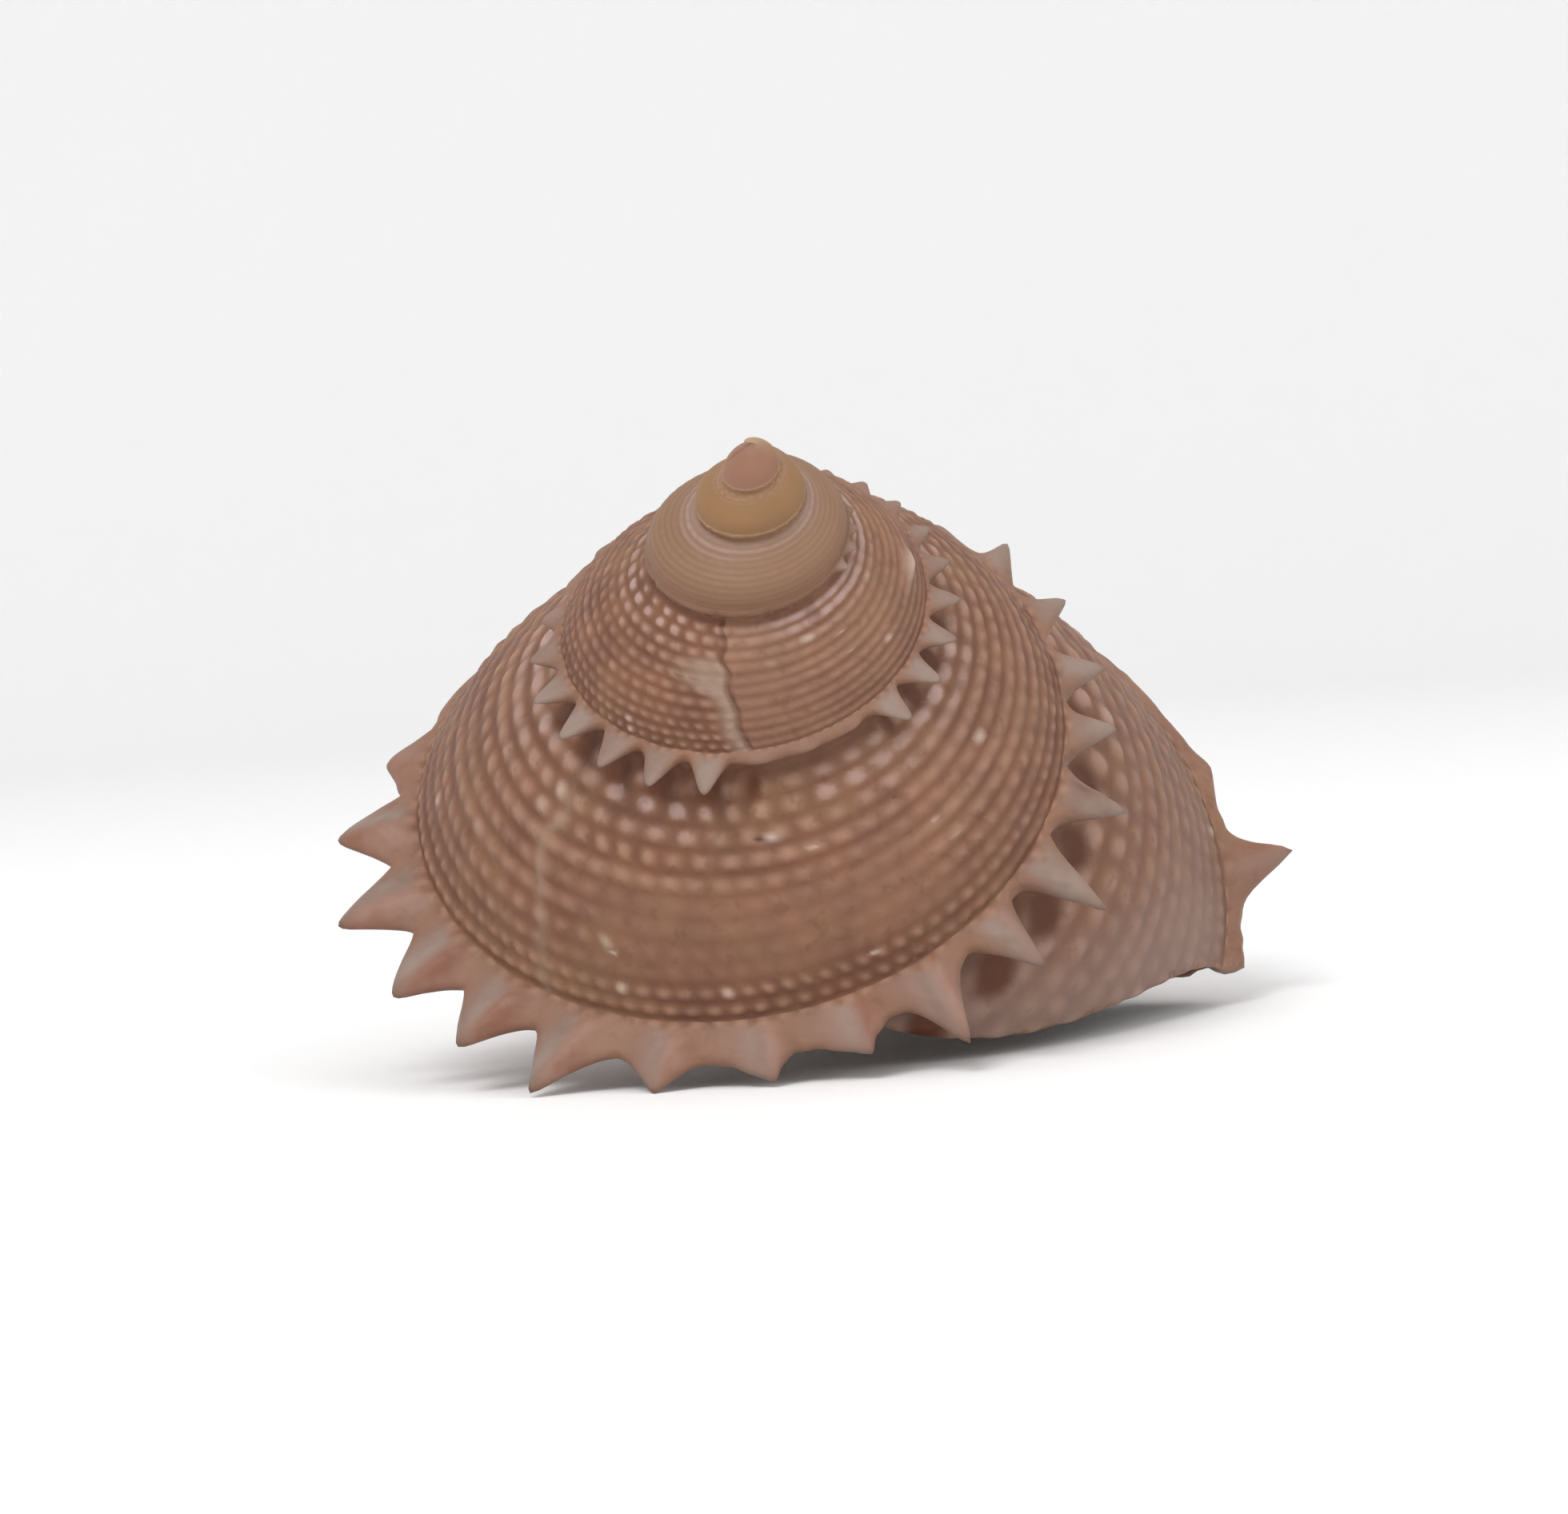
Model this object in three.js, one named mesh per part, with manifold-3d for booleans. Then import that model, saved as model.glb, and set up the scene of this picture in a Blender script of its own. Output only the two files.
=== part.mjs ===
// Turban shell: a right-handed, spiny, top-shaped sea shell that grew as one piece.
//
// The wall is wound as one strip from the apex to the lip. Each turn starts on the
// seam left just under the keel of the turn before, runs down the whorl's side to
// its own keel with the spines, and tucks in under it. A base closes the last turn
// round a central pillar, and the hollow is cut out through the mouth.
// Millimetres; the shell lies in its stable rest position, lowest points at z = 0.

import * as THREE from 'three';
import { ParametricGeometry } from 'three/addons/geometries/ParametricGeometry.js';
import { mergeGeometries, mergeVertices } from 'three/addons/utils/BufferGeometryUtils.js';
import Module from 'manifold-3d';

// Growth. Age is counted in turns: 0 at the lip, negative towards the apex.
const KEEL_RADIUS = 22; // keel radius at the lip, before the lip draws in
const WHORL_RATIO = 1.849; // radius gained in one turn
const SPIRE_RISE = 1.38; // depth of the keel below the apex, over its radius
const DEPTH_POWER = 1.158; // the depth grows this much faster than the radius
const FIRST_AGE = -5.5;
const APEX_ROUNDING = 5; // how soon the first turn widens from its point
const TIP_LIFT = 1.55; // the first turns stand up as a small dome
const TIP_FADE = 1.3; // how soon that lift fades
const LIP_DRAW_IN = 0.151; // share of the radius lost over the last stretch
const DRAW_IN_TURNS = 0.3;
const LIP_AZIMUTH = -11.4; // degrees, at the keel

// Whorl profile, as shares of the keel radius, with z measured from the keel.
const STEPS = 50; // wall sections in one turn
const SIDE_ROWS = 5;
const LEAD_STEPS = 10; // the growth lines reach the suture this far ahead of the keel
const LEAD_POWER = 1.3; // and bend forwards near it
const SIDE_START_DEG = -43; // slope of the side where it leaves the suture
const SIDE_END_DEG = -65; // and where it meets the keel
const SIDE_HANDLE = 0.4; // share of the chord
const KEEL_TOP = { r: 0.97, z: 0.04 };
const KEEL_UNDER = { r: 0.97, z: -0.045 };
const SEAM = { r: 0.93, z: -0.1 };

// Spines: flat points along the keel, one on every second section, each swept back a
// little from the direction of growth. Many are worn short. Each row: the age, the
// reach beyond the keel of the points and of the notches between them, and the sweep
// of the points in turns.
const SPINE_DROP = 0.14; // drop of the point, over its reach
const SPINES = [
  [-3.1, 0.015, 0.015, 0.005],
  [-3.04, 0.1, 0.015, 0.005],
  [-2.92, 0.12, 0.015, 0.005],
  [-2.88, 0.015, 0.015, 0.005],
  [-2.4, 0.015, 0.015, 0.005],
  [-2.1, 0.13, 0.02, 0.005],
  [-2.0, 0.18, 0.02, 0.005],
  [-1.88, 0.2, 0.02, 0.005],
  [-1.84, 0.03, 0.02, 0.005],
  [-1.76, 0.03, 0.02, 0.005],
  [-1.72, 0.2, 0.02, 0.005],
  [-1.56, 0.17, 0.02, 0.005],
  [-1.44, 0.045, 0.02, 0.005],
  [-1.16, 0.045, 0.02, 0.005],
  [-1.12, 0.15, 0.03, 0.013],
  [-1.08, 0.15, 0.02, 0.007],
  [-1.04, 0.16, 0.02, 0.002],
  [-1.0, 0.15, 0.02, 0.007],
  [-0.96, 0.21, 0.02, 0.004],
  [-0.92, 0.27, 0.02, -0.002],
  [-0.88, 0.23, 0.03, 0.003],
  [-0.84, 0.27, 0.06, 0.001],
  [-0.8, 0.16, 0.09, 0.005],
  [-0.76, 0.165, 0.08, 0.006],
  [-0.72, 0.18, 0.09, 0],
  [-0.68, 0.25, 0.075, -0.004],
  [-0.64, 0.215, 0.07, 0],
  [-0.6, 0.22, 0.085, 0.004],
  [-0.56, 0.24, 0.06, 0.002],
  [-0.52, 0.195, 0.06, 0],
  [-0.48, 0.095, 0.01, 0],
  [-0.44, 0.02, 0.01, 0.005],
  [-0.12, 0.015, 0.01, 0.005],
  [-0.08, 0.038, 0.01, 0.007],
  [-0.04, 0.15, 0.01, 0.01],
  [0, 0.02, 0.01, 0.005],
];

// Base, from the seam in to the pillar, and the pillar itself. The growth lines
// sweep back towards the pillar, by this many steps at the lip, and by more where
// the lip's inner end lies on the turn above.
const BASE_ROWS = [
  { r: 0.8, z: -0.165, lead: -1, leadAbove: -4 },
  { r: 0.6, z: -0.225, lead: -2.5, leadAbove: -8 },
  { r: 0.38, z: -0.24, lead: -4, leadAbove: -10 },
];
const PILLAR_LEAD = -4.5;
const PILLAR_LEAD_ABOVE = -10.5;
const PILLAR_RADII = [5.4, 2.9];
const PILLAR_SHARE = 0.3; // limit on the upper radius, over the keel radius
const PILLAR_DROPS = [0.36, 0.86];
const FOOT_DEPTH = 0.19;

// Hollow.
const HOLLOW_STEPS = 25; // sections in one turn
const HOLLOW_TURNS = 1.2;
const HOLLOW_OVERRUN = 3; // sections beyond the lip
const WALL = 0.09; // share of the way from the outside to the middle of the whorl
const BITE = -0.05; // the hollow bites this far into the turn above

// Rest position, on the spines of the front and the lip: the apex leans forwards.
const LEAN_AXIS_DEG = -2.25;
const LEAN_DEG = 46.7;

const rad = THREE.MathUtils.degToRad;

function keelRadius(age) {
  const grown = Math.sqrt(1 - Math.exp(-APEX_ROUNDING * Math.max(age - FIRST_AGE, 0)));
  const late = Math.max((age + DRAW_IN_TURNS) / DRAW_IN_TURNS, 0);
  return KEEL_RADIUS * WHORL_RATIO ** age * grown * (1 - LIP_DRAW_IN * late ** 2);
}

function keelHeight(age) {
  const from = Math.max(age, FIRST_AGE);
  const depth = KEEL_RADIUS * SPIRE_RISE * WHORL_RATIO ** (DEPTH_POWER * from);
  return TIP_LIFT * Math.exp(-TIP_FADE * (from - FIRST_AGE)) - depth;
}

// A point of the section at this age, placed round the coiling axis.
function place(age, r, z) {
  const angle = rad(LIP_AZIMUTH - 360 * age);
  return new THREE.Vector3(r * Math.cos(angle), r * Math.sin(angle), z);
}

// The same, with r and z given as shares of the keel radius, from the keel.
function placeShare(age, share) {
  const radius = keelRadius(age);
  return place(age, share.r * radius, keelHeight(age) + share.z * radius);
}

function seam(step) {
  return placeShare(step / STEPS, SEAM);
}

// The whorl's side: a cubic curve from the seam above (along = 0) to the keel (1).
function side(step, along) {
  const started = Math.min((step / STEPS - FIRST_AGE) / (1 - LEAD_STEPS / STEPS), 1);
  const lead = LEAD_STEPS * started * (1 - along) ** LEAD_POWER;
  if (along === 0) return seam(step + LEAD_STEPS - STEPS);
  const age = (step + lead) / STEPS;
  const above = keelRadius(age - 1);
  const radius = keelRadius(age);
  const from = new THREE.Vector2(SEAM.r * above, keelHeight(age - 1) + SEAM.z * above);
  const to = new THREE.Vector2(KEEL_TOP.r * radius, keelHeight(age) + KEEL_TOP.z * radius);
  const handle = SIDE_HANDLE * from.distanceTo(to);
  const out = new THREE.Vector2(handle, 0).rotateAround(new THREE.Vector2(), rad(SIDE_START_DEG));
  const back = new THREE.Vector2(-handle, 0).rotateAround(new THREE.Vector2(), rad(SIDE_END_DEG));
  const curve = new THREE.CubicBezierCurve(from, out.add(from), back.add(to), to);
  const point = curve.getPoint(along);
  return place(age, point.x, point.y);
}

// A column of the spine rows at this age: points (1), notches (2) or sweep (3).
function spineAt(age, column) {
  const after = SPINES.findIndex((row) => row[0] > age);
  if (after < 0) return SPINES.at(-1)[column];
  if (after === 0) return SPINES[0][column];
  const [older, younger] = [SPINES[after - 1], SPINES[after]];
  const along = (age - older[0]) / (younger[0] - older[0]);
  return THREE.MathUtils.lerp(older[column], younger[column], along);
}

function keelEdge(step) {
  const isPoint = step % 2 === 0;
  const age = step / STEPS;
  const reach = spineAt(age, isPoint ? 1 : 2);
  const swept = isPoint ? age - spineAt(age, 3) : age;
  return placeShare(swept, { r: 1 + reach, z: -SPINE_DROP * reach });
}

// Rows of the wound strip, from the suture to the seam for the next turn.
const STRIP_ROWS = SIDE_ROWS + 3;

function strip(step, row) {
  if (row <= SIDE_ROWS) return side(step, row / SIDE_ROWS);
  if (row === SIDE_ROWS + 1) return keelEdge(step);
  if (row === SIDE_ROWS + 2) return placeShare(step / STEPS, KEEL_UNDER);
  return seam(step);
}

const FOOT = keelHeight(0) - FOOT_DEPTH * keelRadius(0);
const PILLAR_ROW = BASE_ROWS.length;
const ALL_BASE_ROWS = PILLAR_ROW + PILLAR_RADII.length + 1;
const BASE_STEPS = STEPS - LEAD_STEPS; // from the lip back to its end on the suture

// Rows of the base: 0 on the seam, then inwards, down the pillar, to its foot.
// The share is 0 on a line of the lip and 1 where the lip lies on the turn above.
function base(step, row, share) {
  const { lerp } = THREE.MathUtils;
  if (row === 0) return seam(step);
  if (row === ALL_BASE_ROWS) return new THREE.Vector3(0, 0, FOOT);
  if (row <= PILLAR_ROW) {
    const point = BASE_ROWS[row - 1];
    return placeShare((step + lerp(point.lead, point.leadAbove, share)) / STEPS, point);
  }
  const age = (step + lerp(PILLAR_LEAD, PILLAR_LEAD_ABOVE, share)) / STEPS;
  const top = keelHeight(age) + BASE_ROWS[PILLAR_ROW - 1].z * keelRadius(age);
  const index = row - PILLAR_ROW - 1;
  const radius = Math.min(PILLAR_RADII[index], PILLAR_SHARE * keelRadius(age));
  return place(age, radius, lerp(top, FOOT, PILLAR_DROPS[index]));
}

// The mouth's outline: out along the base, up the lip, in along the turn above.
function mouthOutline() {
  const outline = [];
  for (let row = ALL_BASE_ROWS; row > 0; row -= 1) outline.push(base(0, row, 0));
  for (let row = STRIP_ROWS; row > 0; row -= 1) outline.push(strip(0, row));
  for (let row = 0; row < ALL_BASE_ROWS; row += 1) outline.push(base(-BASE_STEPS, row, 1));
  return outline;
}

function centreOf(points) {
  const sum = new THREE.Vector3();
  points.forEach((point) => sum.add(point));
  return sum.divideScalar(points.length);
}

// One patch: a grid of points, columns across and rows down.
function patch(point, columns, rows) {
  const at = (u, v, target) => {
    target.copy(point(Math.round(u * columns), Math.round(v * rows)));
  };
  return new ParametricGeometry(at, columns, rows);
}

// A cap: triangles from a closed outline to its middle.
function cap(outline) {
  const count = outline.length;
  const middle = centreOf(outline);
  return patch((column, row) => (row === 0 ? outline[column % count] : middle), count, 1);
}

function closedSkin() {
  const first = Math.round(FIRST_AGE * STEPS);
  const wound = (column, row) => strip(first + column, row);
  const under = (column, row) => base(column - BASE_STEPS, row, 1 - column / BASE_STEPS);
  return mergeGeometries([
    patch(wound, -first, STRIP_ROWS),
    patch(under, BASE_STEPS, ALL_BASE_ROWS),
    cap(mouthOutline()),
  ]);
}

// A section of the hollow: the inside of the whorl, a wall's thickness in.
function hollowSection(step) {
  const outer = [];
  const upper = [];
  for (let row = PILLAR_ROW; row >= 0; row -= 1) outer.push(base(step, row, 0));
  for (let row = SIDE_ROWS; row >= 0; row -= 1) outer.push(side(step, row / SIDE_ROWS));
  for (let row = 1; row <= PILLAR_ROW; row += 1) upper.push(base(step - BASE_STEPS, row, 1));
  const middle = centreOf([...outer, ...upper]);
  return [
    ...outer.map((point) => point.lerp(middle, WALL)),
    ...upper.map((point) => point.lerp(middle, BITE)),
  ];
}

function hollow() {
  const sections = [];
  const stride = STEPS / HOLLOW_STEPS;
  for (let n = -HOLLOW_TURNS * HOLLOW_STEPS; n <= HOLLOW_OVERRUN; n += 1) {
    sections.push(hollowSection(n * stride));
  }
  const around = sections[0].length;
  const wall = (column, row) => sections[row][column % around];
  return mergeGeometries([
    patch(wall, around, sections.length - 1),
    cap(sections[0].toReversed()),
    cap(sections.at(-1)),
  ]);
}

const wasm = await Module();
wasm.setup();

// A closed mesh as a solid: shared corners merged and collapsed triangles left out.
function solid(geometry) {
  const plain = new THREE.BufferGeometry();
  plain.setAttribute('position', geometry.attributes.position);
  plain.setIndex(geometry.index);
  const merged = mergeVertices(plain, 1e-4);
  const index = merged.index.array;
  const triangles = [];
  for (let i = 0; i < index.length; i += 3) {
    const [a, b, c] = index.slice(i, i + 3);
    if (a !== b && b !== c && c !== a) triangles.push(a, b, c);
  }
  const vertProperties = new Float32Array(merged.attributes.position.array);
  const mesh = new wasm.Mesh({
    numProp: 3,
    vertProperties,
    triVerts: new Uint32Array(triangles),
  });
  return new wasm.Manifold(mesh);
}

function geometryOf(manifold) {
  const mesh = manifold.getMesh();
  const geometry = new THREE.BufferGeometry();
  geometry.setAttribute('position', new THREE.BufferAttribute(mesh.vertProperties, 3));
  geometry.setIndex(new THREE.BufferAttribute(mesh.triVerts, 1));
  return geometry;
}

const shellGeometry = geometryOf(solid(closedSkin()).subtract(solid(hollow())));
const shell = new THREE.Mesh(
  shellGeometry,
  new THREE.MeshStandardMaterial({ color: 0x9a7666, roughness: 0.6, metalness: 0 }),
);
shell.name = 'shell';

const leanAxis = new THREE.Vector3(1, 0, 0).applyAxisAngle(
  new THREE.Vector3(0, 0, 1),
  rad(LEAN_AXIS_DEG),
);
shell.quaternion.setFromAxisAngle(leanAxis, rad(LEAN_DEG));
const box = new THREE.Box3().setFromObject(shell, true);
const middle = box.getCenter(new THREE.Vector3());
shell.position.set(-middle.x, -middle.y, -box.min.z);

const turbanShell = new THREE.Group();
turbanShell.add(shell);

export default turbanShell;
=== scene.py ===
import math

import bmesh
import bpy
import numpy as np
from mathutils import Matrix, Vector


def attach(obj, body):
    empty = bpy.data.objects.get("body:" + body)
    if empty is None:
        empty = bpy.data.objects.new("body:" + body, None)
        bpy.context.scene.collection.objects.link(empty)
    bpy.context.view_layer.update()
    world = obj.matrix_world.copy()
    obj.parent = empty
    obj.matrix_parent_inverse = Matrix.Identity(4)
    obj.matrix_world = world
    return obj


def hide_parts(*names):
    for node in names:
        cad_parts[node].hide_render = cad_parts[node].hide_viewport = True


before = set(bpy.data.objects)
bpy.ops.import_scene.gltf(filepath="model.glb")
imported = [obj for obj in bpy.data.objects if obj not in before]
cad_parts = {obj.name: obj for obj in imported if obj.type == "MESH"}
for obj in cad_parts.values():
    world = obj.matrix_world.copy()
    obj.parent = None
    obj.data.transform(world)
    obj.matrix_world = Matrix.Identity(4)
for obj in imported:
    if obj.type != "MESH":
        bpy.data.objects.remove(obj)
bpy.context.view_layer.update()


# ---------------------------------------------------------------------------
# How the shell grows. One wall of lime, wound to the right round an axis and
# always added to at the lip. Age counts turns: 0 at the lip, negative towards
# the apex. Lengths are millimetres until the mesh is placed in the frame.
# ---------------------------------------------------------------------------
KEEL_RADIUS = 22.0             # of the last turn, if the lip didn't draw in
WHORL_RATIO = 1.849            # growth in one turn
SPIRE_RISE = 1.38
DEPTH_POWER = 1.158            # above 1, the spire gets flatter towards the apex
FIRST_AGE = -5.5
APEX_ROUNDING = 5.0
TIP_LIFT = 1.55
TIP_FADE = 1.3
LIP_DRAW_IN = 0.151
DRAW_IN_TURNS = 0.3
LIP_AZIMUTH = math.radians(-11.4)
LEAD = 0.2                     # turns by which the lip is ahead at the suture
LEAD_POWER = 1.3
SEAM = (0.93, -0.1)            # r and z as shares of the keel radius, from the keel
KEEL_TOP = (0.97, 0.04)
KEEL_UNDER = (0.97, -0.045)
SIDE_START = math.radians(-43)
SIDE_END = math.radians(-65)
SIDE_HANDLE = 0.4
STEPS = 500                    # columns of the mesh in one turn


def smoothstep(value, low, high):
    share = np.clip((value - low) / (high - low), 0, 1)
    return share * share * (3 - 2 * share)


def within(value, start, full, fading, gone):
    return smoothstep(value, start, full) * (1 - smoothstep(value, fading, gone))


def bump_at(value, centre, width):
    return np.exp(-(((value - centre) / width) ** 2))


def keel_radius(age):
    grown = np.sqrt(1 - np.exp(-APEX_ROUNDING * np.maximum(age - FIRST_AGE, 0)))
    late = np.maximum((age + DRAW_IN_TURNS) / DRAW_IN_TURNS, 0)
    return KEEL_RADIUS * WHORL_RATIO**age * grown * (1 - LIP_DRAW_IN * late**2)


def keel_height(age):
    since = np.maximum(age, FIRST_AGE)
    depth = KEEL_RADIUS * SPIRE_RISE * WHORL_RATIO ** (DEPTH_POWER * since)
    return TIP_LIFT * np.exp(-TIP_FADE * (since - FIRST_AGE)) - depth


def wind(age, radius, height):
    angle = LIP_AZIMUTH - 2 * math.pi * age
    return np.stack([radius * np.cos(angle), radius * np.sin(angle), height], -1)


def wind_share(age, r, z):
    radius = keel_radius(age)
    return wind(age, r * radius, keel_height(age) + z * radius)


def age_on_side(age, across):
    started = np.minimum((age - FIRST_AGE) / (1 - LEAD), 1)
    return age + LEAD * started * (1 - across) ** LEAD_POWER


def whorl_side(age, across):
    """A place on the side of a turn, from the suture (across 0) to the keel (across 1)."""
    here = age_on_side(age, across)
    above, below = keel_radius(here - 1), keel_radius(here)
    start = np.stack([SEAM[0] * above, keel_height(here - 1) + SEAM[1] * above], -1)
    end = np.stack([KEEL_TOP[0] * below, keel_height(here) + KEEL_TOP[1] * below], -1)
    handle = SIDE_HANDLE * np.linalg.norm(end - start, axis=-1, keepdims=True)
    leave = start + handle * np.array([math.cos(SIDE_START), math.sin(SIDE_START)])
    arrive = end - handle * np.array([math.cos(SIDE_END), math.sin(SIDE_END)])
    t = across[..., None]
    point = (1 - t) ** 3 * start + 3 * t * (1 - t) ** 2 * leave + 3 * t**2 * (1 - t) * arrive + t**3 * end
    return wind(here, point[..., 0], point[..., 1])


# ---------------------------------------------------------------------------
# Spines: flat points folded along the keel, 25 to a turn, sharing their feet like
# saw teeth and swept back a little from the direction of growth. Many are worn
# short, and a healed break in the wall left a stretch without any.
# ---------------------------------------------------------------------------
SPINE_SPACING = 0.04
HALF_STEP = 0.02               # turns from a point to the notch beside it
SPINE_DROP = 0.14
SPINES = (                     # age, reach of the points and of the notches, sweep of the points
    (-3.1, -0.012, -0.012, 0.005),
    (-3.04, 0.07, -0.01, 0.005),
    (-2.92, 0.1, -0.01, 0.005),
    (-2.88, -0.012, -0.012, 0.005),
    (-2.4, -0.005, -0.005, 0.005),
    (-2.1, 0.13, 0.0, 0.005),
    (-2.0, 0.18, -0.005, 0.005),
    (-1.88, 0.2, -0.005, 0.005),
    (-1.84, 0.03, 0.02, 0.005),
    (-1.76, 0.03, 0.02, 0.005),
    (-1.72, 0.2, -0.005, 0.005),
    (-1.56, 0.17, 0.0, 0.005),
    (-1.44, 0.045, 0.02, 0.005),
    (-1.16, 0.045, 0.02, 0.005),
    (-1.12, 0.15, 0.005, 0.013),
    (-1.08, 0.15, -0.005, 0.007),
    (-1.04, 0.16, -0.01, 0.002),
    (-1.0, 0.15, -0.01, 0.007),
    (-0.96, 0.21, -0.01, 0.004),
    (-0.92, 0.27, -0.01, -0.002),
    (-0.88, 0.23, 0.0, 0.003),
    (-0.84, 0.27, 0.06, 0.001),
    (-0.8, 0.16, 0.09, 0.005),
    (-0.76, 0.165, 0.08, 0.006),
    (-0.72, 0.18, 0.09, 0),
    (-0.68, 0.25, 0.075, -0.004),
    (-0.64, 0.215, 0.07, 0),
    (-0.6, 0.22, 0.085, 0.004),
    (-0.56, 0.24, 0.06, 0.002),
    (-0.52, 0.195, 0.06, 0),
    (-0.48, 0.095, 0.01, 0),
    (-0.44, 0.02, 0.01, 0.005),
    (-0.12, 0.015, 0.01, 0.005),
    (-0.08, 0.038, 0.01, 0.007),
    (-0.04, 0.15, 0.01, 0.01),
    (0, 0.02, 0.01, 0.005),
)
POINT_REACH, NOTCH_REACH, SWEEP = 1, 2, 3
SPINE_SHAPES = (               # age, taper of the older and of the younger flank, bluntness
    (-2.0, 1.9, 1.9, 0.3),
    (-1.45, 1.9, 1.9, 0.3),
    (-1.1, 2.2, 2.0, 0.1),
    (-0.88, 2.1, 1.9, 0.08),
    (-0.8, 2.8, 1.8, 0.05),
    (-0.7, 2.2, 1.4, 0.06),
    (-0.62, 1.6, 1.2, 0.16),
    (-0.5, 1.4, 1.2, 0.2),
    (-0.1, 1.4, 1.2, 0.1),
    (-0.06, 1.5, 5.0, 0.05),
)
OLDER_TAPER, YOUNGER_TAPER, BLUNTNESS = 1, 2, 3


def between(age, table, column=1):
    return np.interp(age, [row[0] for row in table], [row[column] for row in table])


def keel_edge(step):
    """The outermost point of the keel: a spine on even steps, a notch on odd ones."""
    is_point = step % 2 == 0
    age = step * HALF_STEP
    reach = between(age, SPINES, POINT_REACH if is_point else NOTCH_REACH)
    swept = age - between(age, SPINES, SWEEP) if is_point else age
    return wind_share(swept, 1 + reach, -SPINE_DROP * reach)


def spine_phase(age):
    """The number of the nearest spine, and how far off its middle is: -0.5 to 0.5."""
    number = np.rint(-age / SPINE_SPACING)
    return number, age / SPINE_SPACING + number


def spine_point(age, phase):
    """How far up its flank towards the point a place on the flange lies, 0 to 1."""
    blunt = 0.5 * between(age, SPINE_SHAPES, BLUNTNESS)
    older, younger = between(age, SPINE_SHAPES, OLDER_TAPER), between(age, SPINE_SHAPES, YOUNGER_TAPER)
    off = np.hypot(phase, blunt) - blunt
    return (1 - np.clip(off / (np.hypot(0.5, blunt) - blunt), 0, 1)) ** np.where(phase < 0, older, younger)


# ---------------------------------------------------------------------------
# Sculpture of the side: spiral cords cut into beads by the growth lines. The beads
# are large under the suture and tiny in the groove above the spines, so each cord
# has its own number of beads in a turn. The first whorls are smooth.
# ---------------------------------------------------------------------------
CORDS = (                      # place across the side, beads in a turn, size, half width
    (0.165, 43, 1.25, 0.048),
    (0.265, 49, 1.0, 0.046),
    (0.36, 57, 0.9, 0.044),
    (0.455, 62, 0.8, 0.044),
    (0.55, 62, 0.8, 0.044),
    (0.645, 64, 0.8, 0.044),
    (0.74, 75, 0.75, 0.042),
    (0.825, 84, 0.75, 0.036),
    (0.9, 100, 0.8, 0.032),
    (0.965, 100, 0.85, 0.028),
    (0.085, 40, 0.9, 0.04),
)
CORD_ROUNDING = 1.1
GROWTH_START = 0.16            # growth lines of the sculpture: ahead at the suture by this
GROWTH_SLANT = 0.047           # and further back towards the keel by this
GROWTH_WAVER = 0.0016
BEAD_GAIN = 1.2                # more beads with every turn
BEADS_COUNTED_AT = -0.8
GLINTING_BEADS = 40              # one bead in this many gets a painted glint
BEADING = (                    # growth age, how deeply the cords are cut into beads
    (-2.4, 0.6), (-1.9, 0.55), (-1.87, 0.5), (-1.86, 1.1), (-1.3, 1.1), (-1.18, 0.8), (-1.02, 0.7),
    (-0.95, 1.1), (-0.8, 1.1), (-0.76, 0.8), (-0.5, 0.85), (-0.2, 1.1), (0, 1.1),
)
HEIGHTS = (                    # growth age, height of the cords
    (-4.3, 0.0), (-4.2, 0.06), (-3.4, 0.08), (-3.2, 0.22), (-2.75, 0.25), (-2.4, 0.8),
    (-1.95, 0.7), (-1.87, 0.55), (-1.86, 1.25), (-1.6, 1.2), (-1.2, 1.0), (-1.1, 0.75),
    (-0.98, 0.8), (-0.8, 0.9), (-0.35, 0.9), (-0.15, 0.65), (0, 0.55),
)
CONTRAST = (                   # growth age, how much the beads stand out in colour
    (-4.3, 0.1), (-3.3, 0.2), (-3.1, 0.35), (-2.75, 0.4), (-2.4, 0.65), (-1.95, 0.4),
    (-1.87, 0.3), (-1.86, 0.75), (-1.3, 0.7), (-1.1, 0.6), (-0.98, 0.5), (-0.9, 0.7),
    (-0.8, 0.75), (-0.35, 0.75), (-0.15, 0.5), (0, 0.45),
)
MIDDLE_TINT = 0.5
RUBBED_ACROSS = (0.42, 0.58, 0.84, 0.88)
RUBBED_GROWTH = (-1.02, -0.96, -0.82, -0.76)
RUBBED_RELIEF = 0.6            # how much of the beads is gone where the front is rubbed
RUBBED_CONTRAST = 0.3
RUBBED_TINT = 0.15


def scatter(*numbers):
    """Chance from whole numbers, 0 to 1, and the same for the same numbers."""
    total = sum(number * weight for number, weight in zip(numbers, (12.9898, 78.233)))
    noise = np.sin(total) * 43758.5453
    return noise - np.floor(noise)


def drift(value, rate, seed, low=0.0, high=1.0):
    """Smooth chance along one coordinate, between low and high."""
    place = value * rate
    step = np.floor(place)
    share = smoothstep(place - step, 0, 1)
    return low + (high - low) * (scatter(step, seed) * (1 - share) + scatter(step + 1, seed) * share)


def wave(value):
    """From 1 at whole numbers to 0 half way between them."""
    return 0.5 + 0.5 * np.cos(2 * math.pi * value)


def beads_so_far(age, in_a_turn):
    return in_a_turn * BEAD_GAIN ** (age - BEADS_COUNTED_AT) / math.log(BEAD_GAIN)


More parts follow.
